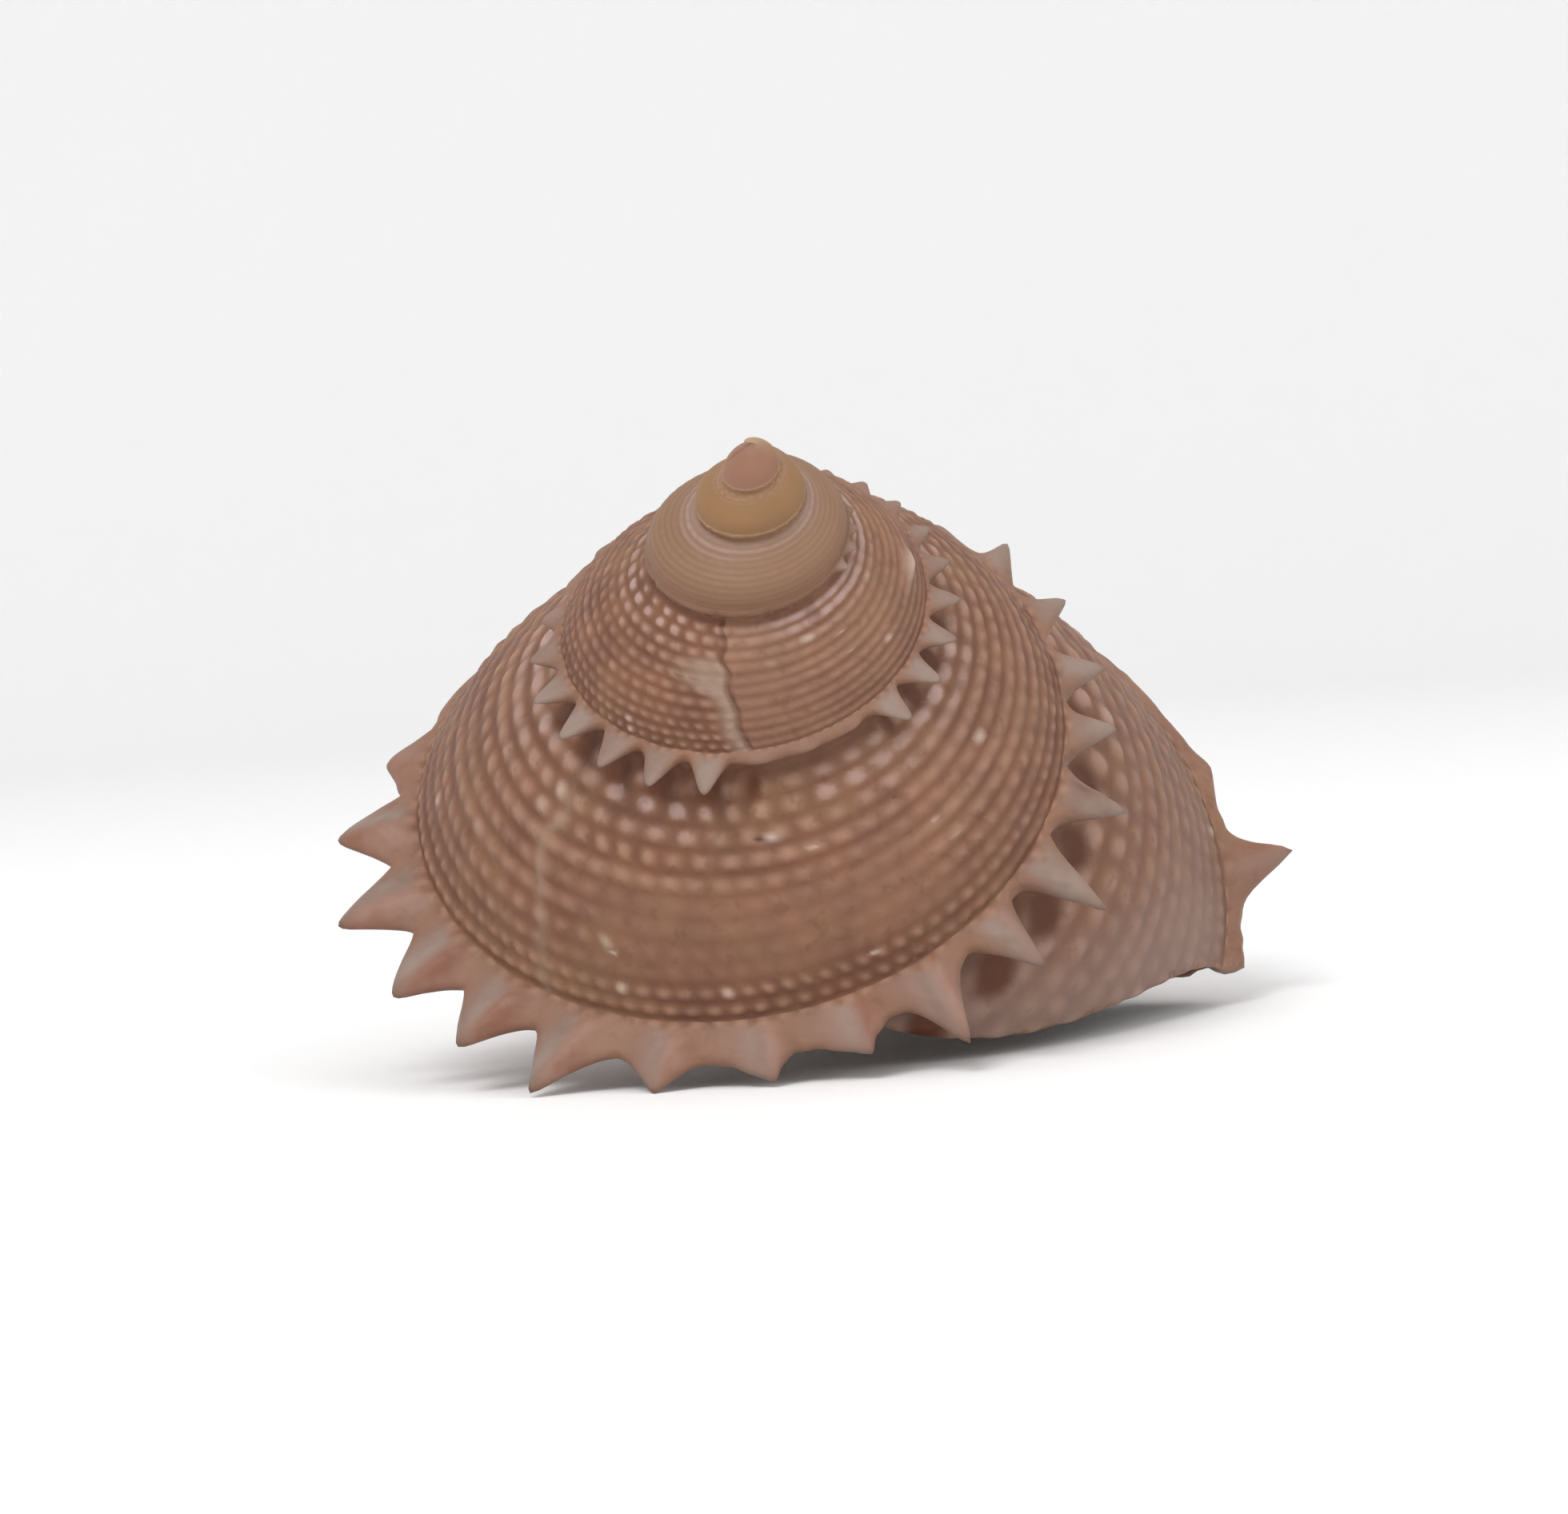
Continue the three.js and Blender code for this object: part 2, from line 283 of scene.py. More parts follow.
def beaded_cord(index, growth, across):
    """The height of one cord, and the painted glints on a few of its beads."""
    place, in_a_turn, size, half = CORDS[index]
    place = place + drift(growth, rate=9, seed=index + 5, low=-0.006, high=0.006)
    away = np.clip(np.abs(across - place) / half, 0, 1)
    cord = np.cos(0.5 * math.pi * away) ** CORD_ROUNDING
    count = beads_so_far(growth, in_a_turn) + scatter(index) + drift(growth, rate=14, seed=index, high=0.35)
    whole = np.rint(count)
    chance = scatter(whole, index + 1)
    bead = wave(count - whole)
    cut = between(growth, BEADING) * drift(growth, rate=12, seed=index + 20, low=0.4875, high=0.8625)
    shape = 1 - cut + cut * bead * (0.75 + 0.4 * chance)
    height = size * cord * shape * drift(growth, rate=5, seed=index + 40, low=0.75, high=1.15)
    # The second value is a painted glint on the top of a rare bead.
    return height, cord**2 * bead**2 * np.clip(1 - GLINTING_BEADS * (1 - chance), 0, 1)


def side_sculpture(here, across):
    """The growth age of each place on the side, and its relief, tint and painted glints."""
    waver = GROWTH_WAVER * np.sin(21 * across + 40 * here)
    growth = here - GROWTH_START + GROWTH_SLANT * across + waver
    relief, bright = np.max([beaded_cord(index, growth, across) for index in range(len(CORDS))], axis=0)
    rubbed = within(across, *RUBBED_ACROSS) * within(growth, *RUBBED_GROWTH)
    relief = relief * (1 - RUBBED_RELIEF * rubbed)
    contrast = between(growth, CONTRAST) * (1 - RUBBED_CONTRAST * rubbed)
    tint = MIDDLE_TINT + contrast * (relief - MIDDLE_TINT + RUBBED_TINT * rubbed)
    return growth, relief, tint, bright


# ---------------------------------------------------------------------------
# Marks of a life: a break in the lip that healed with a pale patch, a fainter halt
# in growth, a pit bored by another snail, a knob, painted glints, and hollows under
# the notches of the turn above, darkened with painted shade. Places are growth ages
# and shares of the side.
# ---------------------------------------------------------------------------
SCAR_GROWTH = -1.866
SCAR_NEARBY = (-2.1, -2.0, -1.8, -1.7)
SCAR_WIDTH = 0.0032
PATCH_PLACE = (0.4, 0.13)      # middle and width, across the side
PATCH_WIDTH = (0.008, 0.055)   # least width in turns, and how much more in the middle
STREAK_GROWTH = -0.76
STREAK_NEARBY = (-0.9, -0.85, -0.65, -0.6)
STREAK_WIDTH = 0.004
BORE = (-0.905, 0.28, 0.016)   # growth age, place across, size
BESIDE_BORE = (-0.914, 0.28, 0.018)
KNOB = (-2.141, 0.73, 0.06)
# Painted glints: light specks on the side, at growth age and share across.
GLINT_SPOTS = (
    (-2.011, 0.375), (-2.003, 0.556), (-0.937, 0.36), (-1.012, 0.65), (-1.01, 0.53),
    (-0.805, 0.78), (-0.937, 0.89),
)
GLINT_SPOT_SIZE = 0.007
PIT_SHIFT = 0.018              # turns by which the pits are set back from the notches
PIT_PLACES = (0.08, 0.11)      # across the side, on the older turns and near the lip
PIT_HALF = 0.07
SPINY = (0.06, 0.14)           # reaches of spines that have no pits, and that have full ones
FOLD_PLACE = 0.13
TURN_TO_SIDE = 3.2             # a turn is this many times as long as the side is wide


def near(growth, across, at_growth, at_across, size):
    away = np.hypot((growth - at_growth) * TURN_TO_SIDE, across - at_across)
    return bump_at(away, 0, size)


def healed_break(growth, across):
    """The scar itself, and the pale patch that covered the break."""
    nearby = within(growth, *SCAR_NEARBY)
    past = growth - SCAR_GROWTH - 0.004 * np.sin(26 * across) * smoothstep(across, 0.5, 0.3)
    streaks = drift(across, rate=34, seed=8, high=0.5) + drift(across, rate=61, seed=9, high=0.5)
    width = PATCH_WIDTH[0] + PATCH_WIDTH[1] * bump_at(across, *PATCH_PLACE) * (0.4 + streaks)
    patch = smoothstep(past, -0.003, 0.006) * (1 - smoothstep(past, 0.4 * width, 1.3 * width + 0.012))
    patch = patch * smoothstep(across, 0.25, 0.33) * (0.55 + 0.45 * streaks)
    return bump_at(past, 0, SCAR_WIDTH) * nearby, patch * nearby


def halt_in_growth(growth, across):
    nearby = within(growth, *STREAK_NEARBY)
    past = growth - STREAK_GROWTH + 0.005 * np.sin(9 * across) + drift(across, rate=19, seed=4, high=0.004)
    faint = (1 - 0.5 * smoothstep(across, 0.5, 0.9)) * smoothstep(across, 0.17, 0.3)
    return bump_at(past, 0, STREAK_WIDTH) * nearby * faint * drift(across, rate=13, seed=9, low=0.45)


def suture_hollows(here, across):
    """Round pits seen between the spines of the turn above, and small folds beside them."""
    above = here - 1 + PIT_SHIFT
    _, phase = spine_phase(above)
    spiny = smoothstep(between(above, SPINES, POINT_REACH), *SPINY)
    place = PIT_PLACES[0] + (PIT_PLACES[1] - PIT_PLACES[0]) * smoothstep(here, -0.5, -0.1)
    pit = bump_at(0.5 - np.abs(phase), 0, drift(here, rate=25, seed=17, low=0.26, high=0.38))
    pit = pit * spiny * bump_at(across, place, PIT_HALF)
    fold = bump_at(across, FOLD_PLACE, PIT_HALF) * spiny * (1 - wave(2 * phase))
    return pit, fold


# ---------------------------------------------------------------------------
# The wound wall as one sheet, in four strips: side, top of the spines, their
# underside, seam. Heights are shares of the keel radius. Every strip carries the
# marks that its material reads.
# ---------------------------------------------------------------------------
SIDE_ROWS = 72
SIDE_FADE = (0, 0.025, 0.985, 1.0)
FLANGE_ROWS = 14
UNDER_ROWS = 8
SEAM_ROWS = 3
FIRST_COLUMN = round(FIRST_AGE * STEPS)
LEAD_COLUMNS = round(LEAD * STEPS)
WALL_COLUMNS = np.arange(FIRST_COLUMN, 1)
WALL_AGE = (WALL_COLUMNS / STEPS)[:, None]
BEADED_FROM = -2.2             # age where the smooth first whorls end
BEAD_HEIGHT = 0.013
STREAK_HEIGHT = 0.004
SCAR_DEPTH = 0.022
PATCH_DEPTH = 0.006
BORE_DEPTH = 0.02
BORE_RIM = 0.015
KNOB_HEIGHT = 0.05
PIT_DEPTH = 0.008
FOLD_DEPTH = 0.008
YOUNG_BULGE = 0.05             # how much rounder the first whorls are
FLANGE_HALF = 0.0425
TALL_SPINE = 0.2               # reach of a spine that shows its full fold
RIDGE = 0.04                   # height of the fold along each spine
FOLD_PHASE = -0.1              # where the fold lies on a spine
FOLD_OLDER, FOLD_YOUNGER = 0.28, 0.6   # how far the fold slopes down to each flank
OLD_FOLD = 0.35                # how much of the fold is left on the older turns
STAINED_SPINE = -0.963         # age of a spine with a brown stain
EDGE_BEADS = 4                 # small beads to a spine, along its foot
EDGE_BEAD_HEIGHT = 0.005
LIP_CUT = 0.016                # turns by which the lip is cut back under the keel
MARKS = (
    "age", "across", "tint", "bright", "pale", "dark", "hole", "lead", "spine", "point", "inside",
)


def marked(points, **marks):
    """A strip with all its marks: those that aren't given are zero."""
    return points, {name: np.broadcast_to(marks.get(name, 0.0), points.shape[:2]) for name in MARKS}


def strip_places(rows):
    return np.linspace(0, 1, rows + 1)[None, 1:]


def seam_age(age):
    return age - LIP_CUT * smoothstep(age, -0.08, 0)


def normals(points):
    along = np.gradient(points, axis=0)
    down = np.gradient(points, axis=1)
    normal = np.cross(along, down)
    return normal / np.maximum(np.linalg.norm(normal, axis=-1, keepdims=True), 1e-12)


def side_strip():
    age, across = np.broadcast_arrays(WALL_AGE, np.linspace(0, 1, SIDE_ROWS + 1)[None, :])
    points = whorl_side(age, across)
    points[:, 0] = wind_share((WALL_COLUMNS + LEAD_COLUMNS - STEPS) / STEPS, *SEAM)
    here = age_on_side(age, across)
    growth, relief, tint, bright = side_sculpture(here, across)
    scar, patch = healed_break(growth, across)
    streak = halt_in_growth(growth, across)
    pit, fold = suture_hollows(here, across)
    bored, beside, knob = (near(growth, across, *spot) for spot in (BORE, BESIDE_BORE, KNOB))
    glint_spots = sum(near(growth, across, *spot, GLINT_SPOT_SIZE) for spot in GLINT_SPOTS)

    relief = relief * (1 - 0.8 * pit)
    beads = between(growth, HEIGHTS) * relief * (1 - 0.5 * patch) * (1 - 0.5 * streak)
    height = BEAD_HEIGHT * beads + STREAK_HEIGHT * streak + BORE_RIM * beside + KNOB_HEIGHT * knob
    height = height - SCAR_DEPTH * scar - PATCH_DEPTH * patch - BORE_DEPTH * bored
    behind_lip = 1 - smoothstep(age, -0.16, -0.06)
    height = height - PIT_DEPTH * pit * smoothstep(across, 0.02, 0.06) * behind_lip
    height = height - FOLD_DEPTH * fold * behind_lip
    height = height + YOUNG_BULGE * np.sin(math.pi * across**2) * (1 - smoothstep(age, -2.6, -2.2))
    height = height * keel_radius(age) * within(across, *SIDE_FADE)
    return marked(
        points + normals(points) * height[..., None],
        age=age,
        across=across,
        tint=tint,
        # Painted glints on beads and at the glint spots, with the paler lime of the bore's rim and the
        # knob.
        bright=np.clip(bright * (age > BEADED_FROM) + beside + 0.7 * knob + glint_spots, 0, 1),
        pale=np.maximum(patch, 0.7 * streak),
        # Dark lines along the scar, and painted shade in the grooves of the folds.
        dark=np.maximum(0.7 * scar, 0.7 * fold * (1 - relief)),
        # Painted shade in the pits under the notches and in the bored pit.
        hole=np.maximum(pit, 0.6 * bored),
    )


def flange(out):
    """The keel and its spines, from their foot (out 0) to the edge (out 1)."""
    age, out = np.broadcast_arrays(WALL_AGE, out)
    number, phase = spine_phase(age)
    point = spine_point(age, phase)
    tip = between(-SPINE_SPACING * number, SPINES, POINT_REACH)
    notch = between(age, SPINES, NOTCH_REACH)
    ragged = drift(age, rate=190, seed=3, low=-0.006, high=0.006)
    ragged = ragged + drift(age, rate=70, seed=6, low=-0.015, high=0.015) * (age < BEADED_FROM)
    reach = notch + np.maximum(tip - notch, 0) * point + ragged * (1 - point)
    here = age - between(-SPINE_SPACING * number, SPINES, SWEEP) * point * out
    r = KEEL_TOP[0] + (1 + reach - KEEL_TOP[0]) * out
    z = 0.5 * (KEEL_TOP[1] + KEEL_UNDER[1]) * (1 - out) - SPINE_DROP * reach * out
    half = FLANGE_HALF * np.sqrt(np.clip(1 - out**2, 0, 1)) * (1 - 0.35 * point * out)
    return here, r, z, half, point, phase, reach


def spine_tops():
    out = strip_places(FLANGE_ROWS)
    here, r, z, half, point, phase, reach = flange(out)
    off = phase - FOLD_PHASE
    crest = smoothstep(np.where(off < 0, 1 + off / FOLD_OLDER, 1 - off / FOLD_YOUNGER), -0.1, 1.1)
    tall = np.clip(reach / TALL_SPINE, 0, 1)
    lumps = drift(WALL_AGE, rate=130, seed=31, low=-0.125, high=0.125)
    lumps = lumps + drift(WALL_AGE + 0.11 * out, rate=260, seed=32, low=-0.1, high=0.1)
    sharp = OLD_FOLD + (1 - OLD_FOLD) * smoothstep(WALL_AGE, -1.5, -1.0)
    ridge = RIDGE * (crest * sharp - 0.35 + lumps) * np.sin(math.pi * out) ** 0.8 * tall
    beads = wave(EDGE_BEADS * phase)
    bead_row = bump_at(out, 0.1, 0.07) * smoothstep(WALL_AGE, -2.6, -2.2)
    return marked(
        wind_share(here, r, z + half + ridge + EDGE_BEAD_HEIGHT * beads * bead_row),
        age=WALL_AGE,
        across=1 + out,
        tint=MIDDLE_TINT + 0.4 * bead_row * (beads - 0.3),
        # Painted shade on the flanks away from the fold, towards the notches between the spines.
        dark=0.5 * (1 - crest) * (1 - point) * tall,
        # A brown stain on one spine.
        hole=0.5 * bump_at(WALL_AGE, STAINED_SPINE, 0.007) * bump_at(out, 0.4, 0.3),
        # Painted light on the leading face of each spine.
        lead=smoothstep(phase, FOLD_PHASE, 0.12) * tall,
        spine=smoothstep(out, 0.08, 0.3) * np.clip(1.6 * tall, 0, 1) * np.clip(0.4 + point, 0, 1),
        point=point * out * tall,
    )


def spine_undersides():
    inwards = strip_places(UNDER_ROWS)
    here, r, z, half, point, _, _ = flange(1 - inwards)
    cut_back = (seam_age(WALL_AGE) - WALL_AGE) * inwards
    return marked(
        wind_share(here + cut_back, r, z - half),
        age=WALL_AGE,
        across=2 + inwards,
        tint=0.3,
        spine=point * (1 - inwards),
        point=point * (1 - inwards),
    )


def seam_strip():
    age, inwards = np.broadcast_arrays(WALL_AGE, strip_places(SEAM_ROWS))
    r, z = (under + (seam - under) * inwards for under, seam in zip(KEEL_UNDER, SEAM))
    return marked(wind_share(seam_age(age), r, z), age=age, across=3, tint=0.2)


def wound_wall():
    strips, marks = zip(side_strip(), spine_tops(), spine_undersides(), seam_strip())
    whole = {name: np.concatenate([mark[name] for mark in marks], axis=1) for name in MARKS}
    return np.concatenate(strips, axis=1), whole


# ---------------------------------------------------------------------------
# Base and pillar: the flat underside of the last turn, with fainter beaded
# cords, running in to a smooth solid pillar. The growth lines sweep back.
# ---------------------------------------------------------------------------
BASE_CURVE = (                 # r, z, lag at the lip and on the turn above, in turns
    (0.8, -0.165, -0.02, -0.08),
    (0.6, -0.225, -0.05, -0.16),
    (0.38, -0.24, -0.08, -0.2),
)
PILLAR_LAG = (-0.09, -0.21)
PILLAR_RADII = (5.4, 2.9)
PILLAR_SHARE = 0.3
PILLAR_DROPS = (0.36, 0.86)
FOOT = float(keel_height(0.0) - 0.19 * keel_radius(0.0))
BASE_ROWS = 60
BASE_KNOTS = 6                 # stretches between the knots of the curve
BASE_COLUMNS = STEPS - LEAD_COLUMNS
BASE_CORDS = 7
BASE_CORDS_END = 2.9           # knot where the last cord lies
BASE_CORDS_SPAN = (0.05, 0.3, 2.5, 3.0)
BASE_BEADS = 80
BASE_BEAD_HEIGHT = 0.011


def smooth_through(knots, at):
    """Catmull-Rom curve through knots (first axis) at the places given."""
    count = len(knots) - 1
    index = np.minimum(np.floor(at).astype(int), count - 1)
    t = (at - index)[:, None, None]
    a, b, c, d = (knots[np.clip(index + shift, 0, count)] for shift in (-1, 0, 1, 2))
    curve = 2 * b + (c - a) * t + (2 * a - 5 * b + 4 * c - d) * t**2 + (3 * b - a - 3 * c + d) * t**3
    return 0.5 * curve


def base_points(age, share):
    """Rows from the seam to the pillar's foot; share is 1 where the turn above begins."""
    knots = [wind_share(seam_age(age), *SEAM)]
    for r, z, lag, lag_above in BASE_CURVE:
        knots.append(wind_share(age + lag + (lag_above - lag) * share, r, z))
    here = age + PILLAR_LAG[0] + (PILLAR_LAG[1] - PILLAR_LAG[0]) * share
    top = keel_height(here) + BASE_CURVE[-1][1] * keel_radius(here)
    for radius, drop in zip(PILLAR_RADII, PILLAR_DROPS):
        reach = np.minimum(radius, PILLAR_SHARE * keel_radius(here))
        knots.append(wind(here, reach, top + (FOOT - top) * drop))
    foot = np.zeros_like(knots[0])
    foot[:, 2] = FOOT
    knots.append(foot)
    return smooth_through(np.stack(knots), np.linspace(0, BASE_KNOTS, BASE_ROWS + 1)).transpose(1, 0, 2)


def base():
    column = np.arange(-BASE_COLUMNS, 1)
    age = (column / STEPS)[:, None]
    points = base_points(age[:, 0], -column / BASE_COLUMNS)
    row = np.linspace(0, BASE_KNOTS, BASE_ROWS + 1)[None, :]
    place = row / BASE_CORDS_END * BASE_CORDS
    bead = wave(beads_so_far(age, BASE_BEADS) + 0.37 * np.rint(place))
    relief = within(row, *BASE_CORDS_SPAN) * wave(place) * (0.5 + 0.5 * bead)
    height = BASE_BEAD_HEIGHT * keel_radius(age) * relief
    return marked(
        points + normals(points) * height[..., None],
        age=age,
        across=4 + row / BASE_KNOTS,
        tint=0.35 + 0.5 * relief,
        pale=smoothstep(row, 2.6, 3.4),
    )


# ---------------------------------------------------------------------------
# Mouth: the rounded lip and the smooth lining of mother-of-pearl behind it,
# a tube that follows the last turn back into the dark and thins the wall.
# ---------------------------------------------------------------------------
LINING_TURNS = 1.2
LINING_STEPS = 60
LIP_WALL = 0.035               # shares of the way to the middle of the hollow
WALL = 0.09
GLAZE = 0.02                   # on the turn above, and at both ends of the lip
LIP_DEPTH = 0.1                # turns in which the wall reaches its full thickness
ROWS_OF_BLEND = (-20, 4)       # round the corner where the lip meets the turn above
PEARL_STARTS = (0.012, 0.045)  # turns behind the lip
RIM_ROWS = 3
RIM_SWELL = 0.45
RIM_THICKEST = 0.9             # mm
CLOSING = (0.3, 0.65, 0.9, 1.0)
PILLAR_ROW = BASE_ROWS // 2    # where the lining leaves the base, short of the pillar


def lining_loop(age):
    """One section of the hollow, with a point for each point of the mouth's outline."""
    once = np.array([age])
    outer = base_points(once, np.zeros(1))[0]
    upper = base_points(once - (1 - LEAD), np.ones(1))[0]
    middle = 0.5 * (outer[PILLAR_ROW] + upper[PILLAR_ROW])
    tail = np.linspace(0, 1, BASE_ROWS + 1 - PILLAR_ROW)[:, None]
    outer[PILLAR_ROW:] = outer[PILLAR_ROW] * (1 - tail) + middle * tail
    upper[PILLAR_ROW:] = upper[PILLAR_ROW] * (1 - tail) + middle * tail
    across = np.linspace(0, 1, SIDE_ROWS + 1)
    side = whorl_side(np.full_like(across, age), across)
    side[0] = wind_share(once - (1 - LEAD), *SEAM)[0]
    tuck = np.linspace(0, 1, FLANGE_ROWS + UNDER_ROWS + SEAM_ROWS + 1)[1:, None]
    tucked = side[-1] * (1 - tuck) + outer[0] * tuck
    return np.concatenate([outer[::-1], tucked[::-1], side[::-1], upper])


def mouth(wall_points, base_sheet):
    outline = np.concatenate([base_sheet[-1, ::-1], wall_points[-1, ::-1], base_sheet[0]])
    place = np.arange(len(outline))
    ends = smoothstep(np.minimum(place, place[::-1]), 0, 0.5 * BASE_ROWS)[:, None]
    turn_above = len(outline) - BASE_ROWS
    upper = smoothstep(place - turn_above, *ROWS_OF_BLEND)[:, None]
    depths = np.arange(0, LINING_TURNS + 1e-6, 1 / LINING_STEPS)
    loops = []
    for depth in depths:
        loop = lining_loop(-depth)
        thick = LIP_WALL + (WALL - LIP_WALL) * smoothstep(depth, 0, LIP_DEPTH)
        share = (thick * (1 - upper) + GLAZE * upper) * ends + GLAZE * (1 - ends)
        loops.append(loop + (loop.mean(axis=0) - loop) * share)
    inner, end = loops[0], loops[-1]
    loops += [end + (end.mean(axis=0) - end) * share for share in CLOSING]

    forward = np.stack([outline[:, 1], -outline[:, 0], 0 * outline[:, 0]], -1)
    forward /= np.maximum(np.linalg.norm(forward, axis=1, keepdims=True), 1.0)
    thickness = np.linalg.norm(inner - outline, axis=1, keepdims=True)
    swell = RIM_SWELL * np.minimum(thickness, RIM_THICKEST) * (1 - upper) * ends
    rim = []
    for t in np.arange(RIM_ROWS + 1) / (RIM_ROWS + 1):
        rim.append(outline * (1 - t) + inner * t + forward * swell * math.sin(math.pi * t))
    depth = np.concatenate([np.zeros(RIM_ROWS + 1), depths, np.full(len(CLOSING), LINING_TURNS)])
    return marked(
        np.stack(rim + loops, axis=1),
        age=-depth,
        across=6,
        tint=0.4,
        pale=0.5,
        inside=smoothstep(depth, *PEARL_STARTS),
    )


# ---------------------------------------------------------------------------
# The whole shell as one closed skin. The sheets are grids whose corners move to
# their grown places; equal corners are then merged, so each turn is welded to
# the seam of the turn before. It leans forwards, on its spines and the pillar's foot.
# ---------------------------------------------------------------------------
LEAN_AXIS = math.radians(-2.25)
LEAN = math.radians(46.7)
OLDEST_STEP = -69              # first of the keel's edge points that count for its place
WELD = 3e-8
TRIANGLES = 190000
MM = 0.001

wall_sheet, wall_marks = wound_wall()
base_sheet, base_marks = base()
mouth_sheet, mouth_marks = mouth(wall_sheet, base_sheet)
sheets = [(wall_sheet, wall_marks), (base_sheet, base_marks), (mouth_sheet, mouth_marks)]

lean = Matrix.Rotation(LEAN, 3, Vector((math.cos(LEAN_AXIS), math.sin(LEAN_AXIS), 0)))
lean_rows = np.array(lean)
apex = np.array([0, 0, keel_height(FIRST_AGE)])
tips = np.array([apex] + [keel_edge(step) for step in range(OLDEST_STEP, 1)]) @ lean_rows.T
tip_low, tip_high = tips.min(axis=0), tips.max(axis=0)
rest = np.array([-(tip_low[0] + tip_high[0]) / 2, -(tip_low[1] + tip_high[1]) / 2, -tip_low[2]])

skin = bmesh.new()
for points, _ in sheets:
    columns, rows = points.shape[:2]
    bmesh.ops.create_grid(skin, x_segments=columns - 1, y_segments=rows - 1, size=0.5)
mesh = bpy.data.meshes.new("turban_shell")
skin.to_mesh(mesh)
skin.free()

flat = np.empty(len(mesh.vertices) * 3, dtype=np.float32)
mesh.vertices.foreach_get("co", flat)
corner = flat.reshape(-1, 3).astype(float)
placed = np.empty_like(corner)
values = {name: np.empty(len(corner), dtype=np.float32) for name in MARKS}
start = 0
for points, marks in sheets:
    columns, rows = points.shape[:2]
    stop = start + columns * rows
    column = np.rint((corner[start:stop, 0] + 0.5) * (columns - 1)).astype(int)
    row = np.rint((corner[start:stop, 1] + 0.5) * (rows - 1)).astype(int)
    placed[start:stop] = points[column, row]
    for name in MARKS:
        values[name][start:stop] = marks[name][column, row]
    start = stop
placed = (placed @ lean_rows.T + rest) * MM
placed[:, 2] = np.maximum(placed[:, 2], 0)    # worn flat where it stands
mesh.vertices.foreach_set("co", placed.astype(np.float32).ravel())
for name, value in values.items():
    mesh.attributes.new(name, "FLOAT", "POINT").data.foreach_set("value", value)

skin = bmesh.new()
skin.from_mesh(mesh)
bmesh.ops.remove_doubles(skin, verts=skin.verts, dist=WELD)
bmesh.ops.recalc_face_normals(skin, faces=skin.faces)
skin.to_mesh(mesh)
skin.free()

shell = bpy.data.objects.new("turban_shell", mesh)
bpy.context.scene.collection.objects.link(shell)
thin = shell.modifiers.new("thin", "DECIMATE")
thin.ratio = TRIANGLES / sum(len(face.vertices) - 2 for face in mesh.polygons)
thin.use_collapse_triangulate = True
graph = bpy.context.evaluated_depsgraph_get()
thinned = bpy.data.meshes.new_from_object(
    shell.evaluated_get(graph), preserve_all_data_layers=True, depsgraph=graph
)
shell.modifiers.clear()
shell.data = thinned
thinned.shade_smooth()


# ---------------------------------------------------------------------------
# Beaded lime: pink-brown beads over browner grooves, with a red, ochre and tan
# apex, grey-pink spines, and mother-of-pearl inside. Colours are thin layers, one
# over the other, each placed by the marks on the skin or by a soft mottle. Some of
# the layers are painted glints, painted light and painted shade.
LIME_SHADE = (0.73, 0.7, 0.66)   # all the tints are this much darker in the lime itself
MIX_SHARE, MIX_UNDER, MIX_OVER, MIX_RESULT = 0, 6, 7, 2   # sockets of a colour Mix node
LIME_ROUGHNESS = 0.55
PEARL_ROUGHNESS = 0.22

lime = bpy.data.materials.new("beaded_lime")
lime.use_nodes = True
surface = lime.node_tree.nodes["Principled BSDF"]


class Shade:
    """A socket of the lime's material; arithmetic on it adds Math nodes."""

    tree = lime.node_tree

    def __init__(self, socket):
        self.socket = socket

    @classmethod
    def node(cls, kind, settings, inputs, output=0):
        made = cls.tree.nodes.new(kind)
        for key, value in settings.items():
            setattr(made, key, value)
        for key, value in inputs.items():
            if isinstance(value, Shade):
                cls.tree.links.new(value.socket, made.inputs[key])
            else:
                made.inputs[key].default_value = value
        return cls(made.outputs[output])

    @classmethod
    def maths(cls, operation, first, second):
        return cls.node("ShaderNodeMath", {"operation": operation}, {0: first, 1: second})

    def __mul__(self, other):
        return self.maths("MULTIPLY", self, other)

    __rmul__ = __mul__

    def __sub__(self, other):
        return self.maths("SUBTRACT", self, other)

    def __rsub__(self, other):
        return self.maths("SUBTRACT", other, self)

    def feed(self, name):
        self.tree.links.new(self.socket, surface.inputs[name])


def tinted(*tint):
    """A tint of the lime, from its sRGB parts in 0 to 255."""
    linear = [((part / 255 + 0.055) / 1.055) ** 2.4 for part in tint]
    return tuple(part * shade for part, shade in zip(linear, LIME_SHADE)) + (1.0,)


def layer(share, under, over):
    inputs = {MIX_SHARE: share, MIX_UNDER: under, MIX_OVER: over}
    return Shade.node("ShaderNodeMix", {"data_type": "RGBA"}, inputs, MIX_RESULT)


def mark(name):
    return Shade.node("ShaderNodeAttribute", {"attribute_name": name}, {}, "Fac")


def rise(value, low, high):
    inputs = {"Value": value, "From Min": low, "From Max": high}
    return Shade.node("ShaderNodeMapRange", {"interpolation_type": "SMOOTHSTEP"}, inputs)


def mottle(scale, detail=3.0):
    inputs = {"Vector": coords, "Scale": scale, "Detail": detail}
    return Shade.node("ShaderNodeTexNoise", {}, inputs)


coords = Shade.node("ShaderNodeTexCoord", {}, {}, "Object")
age = mark("age")
across = mark("across")
beaded = rise(mark("tint"), 0.05, 0.95)
inside = mark("inside")

